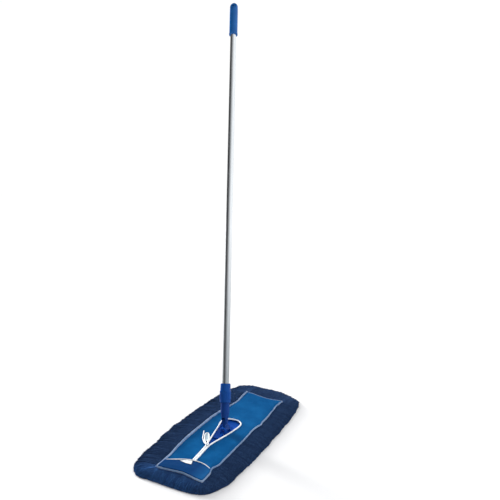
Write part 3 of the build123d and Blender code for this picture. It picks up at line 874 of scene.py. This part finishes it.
def makeOverlock():
    routes = []
    stitches = perimeter(
        panelLow.x, panelHigh.x, panelLow.y, panelHigh.y, edging["corner"], edging["stitchPitch"])
    for point, outward in stitches:
        side = Vector((-outward.y, outward.x, 0))
        slant = edging["stitchPitch"] * (0.55 + 0.25 * chance.random())
        width = edging["halfWidth"] * bandWidth(point)
        start = edging["halfWidth"] - width
        top = panelHigh.z + edging["halfHeight"] * (bandWidth(point) - 1)
        reach = 2 * width + 0.0014 * chance.random()
        rows = (
            (start + reach, -0.0016, 0.0), (start + reach * 0.75, 0.0001, 0.2),
            (start + reach * 0.35, 0.0003, 0.5), (start + 0.0002, -0.0014, 0.8),
            (start - 0.0004, -0.0040, 1.0),
        )
        routes.append([edgePoint(point + side * slant * share, outward, inwards, top + lift)
                       for inwards, lift, share in rows])
    piece = asMesh(curveAlong("bindingThread", routes, edging["threadRadius"], steps=1, sides=0))
    return mount(piece, bindingThreadCotton, "head", "binding_pale")


bindingThreadCotton = makeCotton("bindingThreadCotton", paint(196, 210, 234), paint(140, 164, 204), 400)
makeOverlock()
print("edge binding made")


# Fringe: twisted yarn in layers, combed outwards and down to the floor

fringe = {
    "pitch": 0.0030,
    "layers": 4,
    "yarnRadius": 0.0017,
    "outline": [
        (-0.150, -0.1330), (-0.060, -0.1370), (0.060, -0.1390), (0.180, -0.1370),
        (0.280, -0.1350), (0.345, -0.1285), (0.385, -0.1170), (0.403, -0.1020),
        (0.412, -0.0780), (0.424, -0.0450), (0.436, -0.0150), (0.435, 0.0200), (0.431, 0.0560),
        (0.431, 0.0860), (0.422, 0.1150), (0.403, 0.1380), (0.366, 0.1540), (0.300, 0.1680),
        (0.220, 0.1780), (0.120, 0.1840), (0.010, 0.1860), (-0.090, 0.1790), (-0.170, 0.1720),
        (-0.225, 0.1680), (-0.268, 0.1600), (-0.300, 0.1420), (-0.318, 0.1090),
        (-0.317, 0.0600), (-0.313, 0.0150), (-0.312, -0.0400), (-0.306, -0.0720),
        (-0.292, -0.0960), (-0.266, -0.1130), (-0.232, -0.1250), (-0.195, -0.1300),
    ],
    "edgeHeight": 0.0085,
    "puff": 0.0035,
    "points": 6,
}
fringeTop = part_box("fringe_left")[1].z
fringeLine = lineOf([Vector((x, y, 0)) for x, y in fringe["outline"]], closed=True)


def outlinePlaces(pitch, skew=0.0):
    # Evenly spaced places round the fringe's outline
    loop = fringeLine + fringeLine[:1]
    total = sum((second - first).length for first, second in zip(loop, loop[1:]))
    count = round(total / pitch)
    step = total / count
    found, passed = [], -skew * step
    for first, second in zip(loop, loop[1:]):
        run = (second - first).length
        while passed <= run and len(found) < count:
            found.append(first.lerp(second, max(0.0, passed) / run))
            passed += step
        passed -= run
    return found


def rootOf(point):
    # The place on the panel's edge that a point of the outline hangs from, and the way out
    corner = 0.008
    inner = Vector((
        min(max(point.x, panelLow.x + corner), panelHigh.x - corner),
        min(max(point.y, panelLow.y + corner), panelHigh.y - corner), 0))
    outward = (point - inner).normalized()
    return inner + outward * corner, outward


def topLine(share):
    # The fringe's upper side from the panel to its tips
    slope = fringeTop + (fringe["edgeHeight"] - fringeTop) * smoothStep(-0.25, 1.25, share) ** 0.95
    slope += fringe["puff"] * math.sin(math.pi * min(1, share * 1.05)) ** 1.2
    return slope - 0.0055 * smoothStep(0.80, 1.04, share)


def strandRoute(point, layer, order):
    root, outward = rootOf(point)
    side = Vector((-outward.y, outward.x, 0))
    reach = (point - root).length
    x, y = settle(root.x, root.y)
    shift = Vector((x - root.x, y - root.y, 0))
    rise = settling["leftRise"] * leftShare(root.x) * smoothStep(0.060, 0.075, root.y)
    lock = drift(order * 0.045, layer * 3.1, 2)
    lockSwing = 0.10 * lock + 0.05 * drift(order * 0.17, layer * 5.7, 8)
    length = reach * (0.995 + 0.055 * drift(order * 0.055, 1.5, 6) + 0.030 * drift(order * 0.19, 4.5, 6))
    length += reach * 0.02 * chance.uniform(-1, 1)
    if layer:
        length -= reach * 0.03 * chance.random()
    depth = layer / (fringe["layers"] - 1)
    swing = lockSwing + 0.035 * chance.uniform(-1, 1)
    phase = chance.uniform(0, 6.3)
    wobble = 0.0009 * chance.random()
    bundle = 0.0011 * drift(order * 0.11, layer, 4)
    route = []
    for step in range(fringe["points"]):
        share = step / (fringe["points"] - 1)
        out = -0.004 + (length + 0.004) * share
        across = swing * out * share + wobble * math.sin(phase + 7 * share)
        low = fringe["yarnRadius"] + 0.013 * (1 - smoothStep(0.0, 0.3, share))
        upper = topLine(share) - fringe["yarnRadius"] + bundle * math.sin(math.pi * share)
        height = upper + (low - upper) * depth
        height += rise * (1 - smoothStep(0.0, 0.5, share)) * (1 - depth)
        place = root + outward * out + side * across + shift * (1 - smoothStep(0.1, 0.9, share))
        taper = 0.72 if step == fringe["points"] - 1 else 1.0
        route.append((place.x, place.y, max(height, fringe["yarnRadius"] * taper), taper))
    return route


def makeFringe():
    groups = {"Near": [], "Far": [], "Left": [], "Right": []}
    for layer in range(fringe["layers"]):
        for order, point in enumerate(outlinePlaces(fringe["pitch"], skew=layer * 0.37)):
            if point.x < panelLow.x:
                name = "Near"
            elif point.x > panelHigh.x:
                name = "Far"
            else:
                name = "Left" if point.y > 0 else "Right"
            groups[name].append(strandRoute(point, layer, order))
    for name, routes in groups.items():
        piece = asMesh(curveAlong("fringe" + name, routes, fringe["yarnRadius"], steps=2, sides=1))
        finish = endYarn if name in ("Near", "Far") else sideYarn
        mount(piece, finish, "head", "yarn_navy", "fringe_" + name.lower())
        print("fringe", name, len(routes), "strands", len(piece.data.polygons), "faces")


makeFringe()


def makeCore():
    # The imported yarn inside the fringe, under the combed strands
    rings = []
    for share, sink in ((0.0, 0.0035), (0.30, 0.0040), (0.60, 0.0045), (0.86, 0.0045)):
        ring = []
        for point in outlinePlaces(0.010):
            root, outward = rootOf(point)
            out = (point - root).length * share
            x, y = settle(root.x, root.y)
            place = Vector((x, y, 0)).lerp(root, share) + outward * out
            ring.append(Vector((place.x, place.y, topLine(share) - sink)))
        rings.append(ring)
    floorGap = 0.0006
    low = [[Vector((place.x, place.y, floorGap)) for place in ring] for ring in (rings[-1], rings[0])]
    work = bmesh.new()
    ring = bmesh.ops.create_circle(work, segments=len(rings[0]), radius=1)["verts"]
    for vertex, place in zip(ring, rings[0]):
        vertex.co = place
    # Each ring is drawn out of the last one, so that their points stay paired
    for places in rings[1:] + low + rings[:1]:
        order = {vertex: index for index, vertex in enumerate(ring)}
        edges = [edge for edge in work.edges if edge.verts[0] in order and edge.verts[1] in order]
        made = bmesh.ops.extrude_edge_only(work, edges=edges)["geom"]
        ring = [None] * len(order)
        for vertex in (item for item in made if isinstance(item, bmesh.types.BMVert)):
            last = next(edge.other_vert(vertex) for edge in vertex.link_edges
                        if edge.other_vert(vertex) in order)
            ring[order[last]] = vertex
            vertex.co = places[order[last]]
    bmesh.ops.remove_doubles(work, verts=work.verts[:], dist=1e-6)
    bmesh.ops.recalc_face_normals(work, faces=work.faces)
    piece = meshOf("fringeCore", work)
    return mount(piece, pileYarn, "head", "yarn_navy")


makeCore()
print("fringe made")


# Underside: looped pile tufted through a backing cloth

pile = {"pitchX": 0.0085, "pitchY": 0.0078, "yarnRadius": 0.0019}


def makePile():
    inset = 0.006
    columns = round((panelHigh.x - panelLow.x - 2 * inset) / pile["pitchX"])
    rows = round((panelHigh.y - panelLow.y - 2 * inset) / pile["pitchY"])
    routes = []
    for column in range(columns):
        for row in range(rows):
            x = panelLow.x + inset + (column + 0.5) * pile["pitchX"] + chance.uniform(-1, 1) * 0.001
            y = panelLow.y + inset + (row + 0.5) * pile["pitchY"] + chance.uniform(-1, 1) * 0.001
            x, y = settle(x, y)
            lean = Vector((chance.uniform(-1, 1) * 0.003, chance.uniform(-1, 1) * 0.003, 0))
            half = 0.0028 + 0.0008 * chance.random()
            way = Vector((math.cos(0.4 * lean.x / 0.003), math.sin(0.4 * lean.y / 0.003), 0)) * half
            foot = Vector((x, y, pileTop + 0.0005))
            tip = Vector((x, y, pile["yarnRadius"] + 0.0004 + 0.0012 * chance.random())) + lean
            routes.append([foot - way * 0.4, foot.lerp(tip, 0.5) - way * 1.1, tip - way, tip + way,
                           foot.lerp(tip, 0.5) + way * 1.1, foot + way * 0.4])
    piece = asMesh(curveAlong("yarnPile", routes, pile["yarnRadius"], steps=2, sides=1))
    print("pile", len(routes), "loops")
    return mount(piece, pileYarn, "head", "yarn_navy", "yarn_pile")


yarnPile = makePile()


def makeBacking():
    inset = 0.005
    work = gridSheet(panelLow.x + inset, panelHigh.x - inset, panelLow.y + inset, panelHigh.y - inset, 0.006)
    for vertex in work.verts:
        x, y = settle(vertex.co.x, vertex.co.y)
        vertex.co = Vector((x, y, pileTop + 0.0009 + 0.0002 * drift(x * 60, y * 60)))
    piece = meshOf("backingCloth", work)
    thicken(piece, 0.0009)
    mount(piece, backWeave, "head", "backing_cloth", "backing_cloth")
    return piece


makeBacking()
print("pile and backing made")


# Finishes on the frame's own hardware

finishes = {
    "frame_plate": frameBlue, "joint_base": frameBlue, "base_rivets": frameBlue, "hinge_pin": pinSteel,
    "pin_clip": pinSteel, "knuckle": socketBlue, "hinge_washers": washerNylon, "yoke_pin": pinSteel,
    "yoke_washers": washerNylon, "socket": socketBlue, "collet": washerNylon, "lock_collar": collarBlue,
    "handle_tube": tubeAluminium, "grip": gripBlue, "hang_cap": gripBlue,
}
for nodeName, finish in finishes.items():
    dress(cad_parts[nodeName], finish)
print("hardware finished")


# Pale floor and studio light

def makeFloor():
    work = bmesh.new()
    bmesh.ops.create_circle(work, cap_ends=True, segments=64, radius=9)
    floor = meshOf("floor", work)
    material, shader = newMaterial("floorPaper", (0.90, 0.90, 0.905, 1), 0.95)
    shader.inputs["Specular IOR Level"].default_value = 0.0
    raiseBy(material, shader, (grain(material, places(material), 40, 2), 0.02, 0.001))
    dress(floor, material)


studio = {
    "skyDark": 0.03,  # world strength on the left
    "skyBright": 1.40,  # and on the right
    "rightWay": Vector((0.42467, -0.90288, 0.06679)),
    "suns": {
        "keySun": {"from": Vector((0.33, 0.88, 0.38)), "power": 2.4, "angle": 22},
        "lowSun": {"from": Vector((0.30, 0.94, 0.165)), "power": 3.7, "angle": 14},
    },
}


def lightStudio(setup):
    world = bpy.data.worlds.new("studio")
    world.use_nodes = True
    nodes, links = world.node_tree.nodes, world.node_tree.links
    lit = nodes["Background"]
    lit.inputs["Color"].default_value = (0.985, 0.99, 1, 1)
    way = nodes.new("ShaderNodeTexCoord").outputs["Generated"]
    turn = nodes.new("ShaderNodeVectorMath")
    turn.operation = "DOT_PRODUCT"
    turn.inputs[1].default_value = setup["rightWay"]
    links.new(way, turn.inputs[0])
    spread = nodes.new("ShaderNodeMapRange")
    spread.interpolation_type = "SMOOTHSTEP"
    limits = {"From Min": -1.0, "From Max": 1.0, "To Min": setup["skyDark"], "To Max": setup["skyBright"]}
    for socket, value in limits.items():
        spread.inputs[socket].default_value = value
    links.new(turn.outputs["Value"], spread.inputs["Value"])
    links.new(spread.outputs["Result"], lit.inputs["Strength"])
    plain = nodes.new("ShaderNodeBackground")  # what shows behind the mop is plain white
    plain.inputs["Color"].default_value = (1, 1, 1, 1)
    plain.inputs["Strength"].default_value = 1.02
    choice = nodes.new("ShaderNodeMixShader")
    links.new(nodes.new("ShaderNodeLightPath").outputs["Is Camera Ray"], choice.inputs["Fac"])
    links.new(lit.outputs["Background"], choice.inputs[1])
    links.new(plain.outputs["Background"], choice.inputs[2])
    links.new(choice.outputs["Shader"], nodes["World Output"].inputs["Surface"])
    scene.world = world
    for name, source in setup["suns"].items():
        data = bpy.data.lights.new(name, "SUN")
        data.energy = source["power"]
        data.angle = math.radians(source["angle"])
        sun = addObject(name, data)
        sun.rotation_mode = "QUATERNION"
        sun.rotation_quaternion = source["from"].to_track_quat("Z", "Y")
        sun.visible_glossy = False


makeFloor()
lightStudio(studio)
scene.view_settings.view_transform = "Standard"
scene.view_settings.look = "None"
